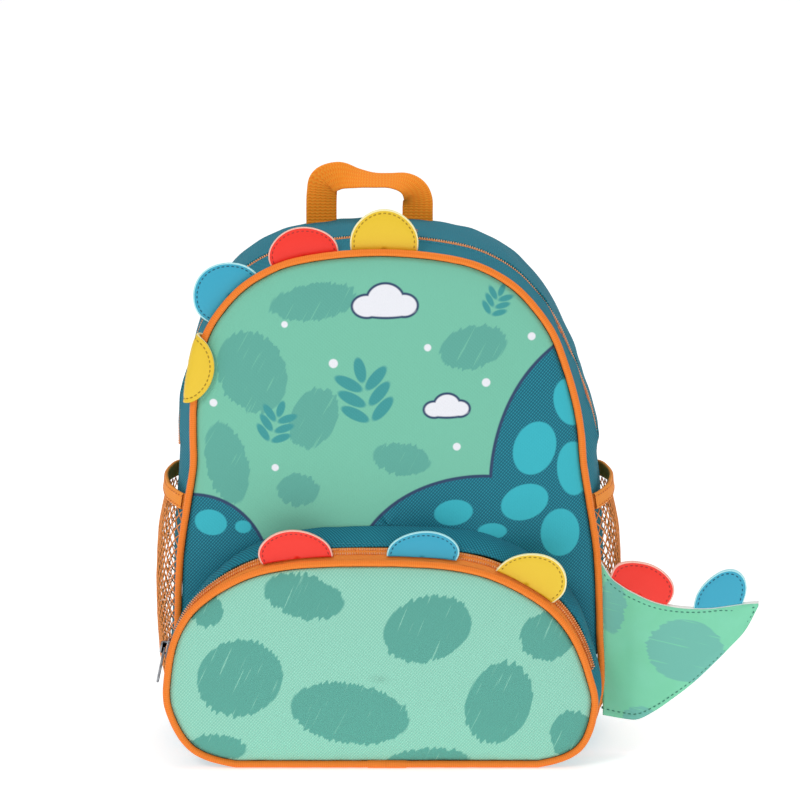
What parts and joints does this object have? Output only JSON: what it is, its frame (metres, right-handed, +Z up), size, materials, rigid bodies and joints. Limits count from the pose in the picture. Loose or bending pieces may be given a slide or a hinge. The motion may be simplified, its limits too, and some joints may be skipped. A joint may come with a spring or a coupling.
{
  "type": "kids animal backpack",
  "caption": "Child's backpack with an animal theme: arched body, front pocket, soft plates, side tail, mesh side pockets, webbing handle and padded straps.",
  "frame": {"origin": "on the floor under the middle of the main compartment", "axes": "+Z up, front facing -Y, +X to the right seen from the front, where the tail is"},
  "size_m": [0.3755, 0.1644, 0.3573],
  "materials": {
    "printed_cloth": "matte",
    "mint_cloth": "matte",
    "teal_cloth": "matte",
    "orange_piping": "satin",
    "orange_webbing": "matte",
    "orange_net": "matte",
    "zipper_tape": "matte",
    "slider_metal": "polished",
    "red_leather": "satin",
    "yellow_leather": "satin",
    "blue_leather": "satin",
    "green_leather": "satin",
    "teal_webbing": "matte",
    "teal_plastic": "matte"
  },
  "bodies": {
    "bag": {"main_gusset": "teal_cloth", "main_base": "teal_cloth", "front_panel": "printed_cloth", "back_panel": "teal_cloth", "main_piping": "orange_piping", "main_zipper": "zipper_tape", "pocket_gusset": "teal_cloth", "pocket_front": "mint_cloth", "pocket_piping": "orange_piping", "pocket_zipper": "zipper_tape", "main_zip_slider": "slider_metal", "pocket_zip_slider": "slider_metal", "plate_main_yellow": "yellow_leather", "plate_main_red": "red_leather", "plate_main_blue": "blue_leather", "plate_main_folded": "yellow_leather", "plate_pocket_red": "red_leather", "plate_pocket_blue": "blue_leather", "plate_pocket_yellow": "yellow_leather", "tail": "green_leather", "plate_tail_red": "red_leather", "plate_tail_blue": "blue_leather", "net_left": "orange_net", "net_band_left": "orange_webbing", "net_right": "orange_net", "net_band_right": "orange_webbing", "top_handle": "orange_webbing", "shoulder_strap_left": "teal_cloth", "strap_loop_left": "teal_webbing", "strap_adjuster_left": "teal_plastic", "lower_webbing_left": "teal_webbing", "shoulder_strap_right": "teal_cloth", "strap_loop_right": "teal_webbing", "strap_adjuster_right": "teal_plastic", "lower_webbing_right": "teal_webbing"},
    "main_pull_body": {"main_zip_pull": "slider_metal"},
    "pocket_pull_body": {"pocket_zip_pull": "slider_metal"}
  },
  "joints": [
    {"name": "main_pull_hinge", "type": "hinge", "parent": "bag", "child": "main_pull_body", "pos_m": [-0.00478, -0.01299, 0.3271], "axis": [-0.0003, -0.9993, -0.0364], "range_deg": [0, 170]},
    {"name": "pocket_pull_hinge", "type": "hinge", "parent": "bag", "child": "pocket_pull_body", "pos_m": [-0.13856, -0.06914, 0.07584], "axis": [-0.0331, 0.9994, 0.0053], "range_deg": [0, 170]}
  ]
}
